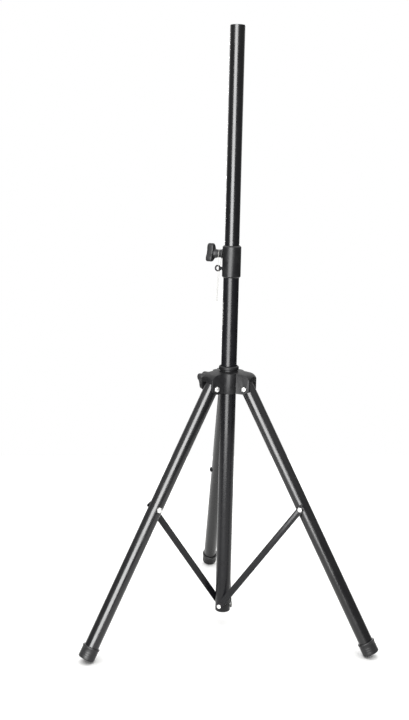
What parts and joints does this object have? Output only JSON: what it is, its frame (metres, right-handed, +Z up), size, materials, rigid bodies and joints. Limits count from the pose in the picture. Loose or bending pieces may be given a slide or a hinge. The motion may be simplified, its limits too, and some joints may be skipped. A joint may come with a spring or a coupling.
{
  "type": "speaker stand",
  "caption": "Folding tripod stand with a telescopic pole that carries a loudspeaker on its top end, with clamp knobs, a lock pin and braced legs.",
  "frame": {"origin": "on the floor, on the column axis, with the legs spread", "axes": "+Z up along the column and the pole, +Y towards the rear leg"},
  "size_m": [0.7192, 0.6283, 1.476],
  "materials": {
    "painted_steel_black": "semi-gloss black powder coat",
    "gloss_tube_black": "gloss black baked enamel",
    "plastic_black": "moulded glass-filled nylon, fine grain",
    "knob_plastic": "moulded plastic, satin",
    "nylon": "plain nylon",
    "rubber": "matt moulded rubber",
    "zinc_steel": "bright zinc plate",
    "dark_steel": "blackened steel, worn",
    "brass": "turned",
    "card_white": "uncoated folded card",
    "thread": "twisted cotton thread"
  },
  "bodies": {
    "column": {"column_tube": "painted_steel_black", "column_bottom_plug": "plastic_black", "strut_pivot_screws": "zinc_steel", "collar": "plastic_black", "collar_bush": "nylon", "pole_clamp_insert": "brass", "pin_barrel": "dark_steel", "hang_tag": "card_white", "tag_thread": "thread"},
    "pole": {"pole_tube": "gloss_tube_black", "pole_top_plug": "plastic_black", "pole_bottom_guide": "nylon"},
    "pole_shoe": {"pole_clamp_shoe": "nylon"},
    "pole_knob": {"pole_knob": "knob_plastic", "pole_clamp_screw": "zinc_steel"},
    "lock_pin": {"lock_pin": "dark_steel", "pull_ring": "dark_steel"},
    "hub": {"hub_housing": "plastic_black", "hub_bush": "nylon", "hub_top_ring": "plastic_black", "hub_clamp_insert": "brass", "leg_pivot_bolts": "zinc_steel", "leg_pivot_nuts": "zinc_steel"},
    "hub_shoe": {"hub_clamp_shoe": "nylon"},
    "hub_knob": {"hub_knob": "knob_plastic", "hub_clamp_screw": "zinc_steel"},
    "leg_rear": {"leg_tube_rear": "gloss_tube_black", "leg_top_plug_rear": "plastic_black", "boot_rear": "rubber", "strut_bolt_rear": "zinc_steel", "strut_nut_rear": "zinc_steel", "strut_spacer_rear": "nylon"},
    "strut_rear": {"strut_rear": "painted_steel_black"},
    "leg_left": {"leg_tube_left": "gloss_tube_black", "leg_top_plug_left": "plastic_black", "boot_left": "rubber", "strut_bolt_left": "zinc_steel", "strut_nut_left": "zinc_steel", "strut_spacer_left": "nylon"},
    "strut_left": {"strut_left": "painted_steel_black"},
    "leg_right": {"leg_tube_right": "gloss_tube_black", "leg_top_plug_right": "plastic_black", "boot_right": "rubber", "strut_bolt_right": "zinc_steel", "strut_nut_right": "zinc_steel", "strut_spacer_right": "nylon"},
    "strut_right": {"strut_right": "painted_steel_black"}
  },
  "joints": [
    {"name": "pole_height", "type": "slide", "parent": "column", "child": "pole", "axis": [0, 0, 1], "range_m": [-0.4, 0.3]},
    {"name": "lock_pin_pull", "type": "slide", "parent": "column", "child": "lock_pin", "axis": [-0.866, 0.5, 0], "range_m": [-0.0044, 0]},
    {"name": "pole_shoe_press", "type": "slide", "parent": "column", "child": "pole_shoe", "axis": [-0.866, 0.5, 0], "range_m": [0, 0.0015]},
    {"name": "pole_knob_turn", "type": "hinge", "parent": "pole_shoe", "child": "pole_knob", "pos_m": [-0.03464, 0.02, 0.949], "axis": [-0.866, 0.5, 0], "range_deg": [0, 360]},
    {"name": "leg_fold", "type": "hinge", "parent": "column", "child": "strut_rear", "pos_m": [0, 0, 0.052], "axis": [1, 0, 0], "range_deg": [0, 26.94]},
    {"name": "strut_left_turn", "type": "hinge", "parent": "column", "child": "strut_left", "pos_m": [0, 0, 0.052], "axis": [-0.5, 0.866, 0], "range_deg": [0, 26.94]},
    {"name": "strut_right_turn", "type": "hinge", "parent": "column", "child": "strut_right", "pos_m": [0, 0, 0.052], "axis": [-0.5, -0.866, 0], "range_deg": [0, 26.94]},
    {"name": "leg_rear_turn", "type": "hinge", "parent": "strut_rear", "child": "leg_rear", "pos_m": [0, 0.20685, 0.34653], "axis": [-1, 0, 0], "range_deg": [0, 55.96]},
    {"name": "hub_turn", "type": "hinge", "parent": "leg_rear", "child": "hub", "pos_m": [0, 0.05098, 0.626], "axis": [1, 0, 0], "range_deg": [0, 29.02]},
    {"name": "leg_left_turn", "type": "hinge", "parent": "hub", "child": "leg_left", "pos_m": [-0.04415, -0.02549, 0.626], "axis": [0.5, -0.866, 0], "range_deg": [0, 29.02]},
    {"name": "leg_right_turn", "type": "hinge", "parent": "hub", "child": "leg_right", "pos_m": [0.04415, -0.02549, 0.626], "axis": [0.5, 0.866, 0], "range_deg": [0, 29.02]},
    {"name": "hub_shoe_press", "type": "slide", "parent": "hub", "child": "hub_shoe", "axis": [-0.866, 0.5, 0], "range_m": [0, 0.0015]},
    {"name": "hub_knob_turn", "type": "hinge", "parent": "hub_shoe", "child": "hub_knob", "pos_m": [-0.05196, 0.03, 0.6355], "axis": [-0.866, 0.5, 0], "range_deg": [0, 360]}
  ],
  "couplings": [
    {"joint": "pole_shoe_press", "follows": "pole_knob_turn", "m_per_rad": 0.00023873},
    {"joint": "hub_shoe_press", "follows": "hub_knob_turn", "m_per_rad": 0.00023873},
    {"joint": "strut_left_turn", "follows": "leg_fold", "ratio": 1},
    {"joint": "strut_right_turn", "follows": "leg_fold", "ratio": 1},
    {"joint": "leg_rear_turn", "follows": "leg_fold", "ratio": 2.0774},
    {"joint": "hub_turn", "follows": "leg_fold", "ratio": 1.0774},
    {"joint": "leg_left_turn", "follows": "leg_fold", "ratio": 1.0774},
    {"joint": "leg_right_turn", "follows": "leg_fold", "ratio": 1.0774}
  ]
}
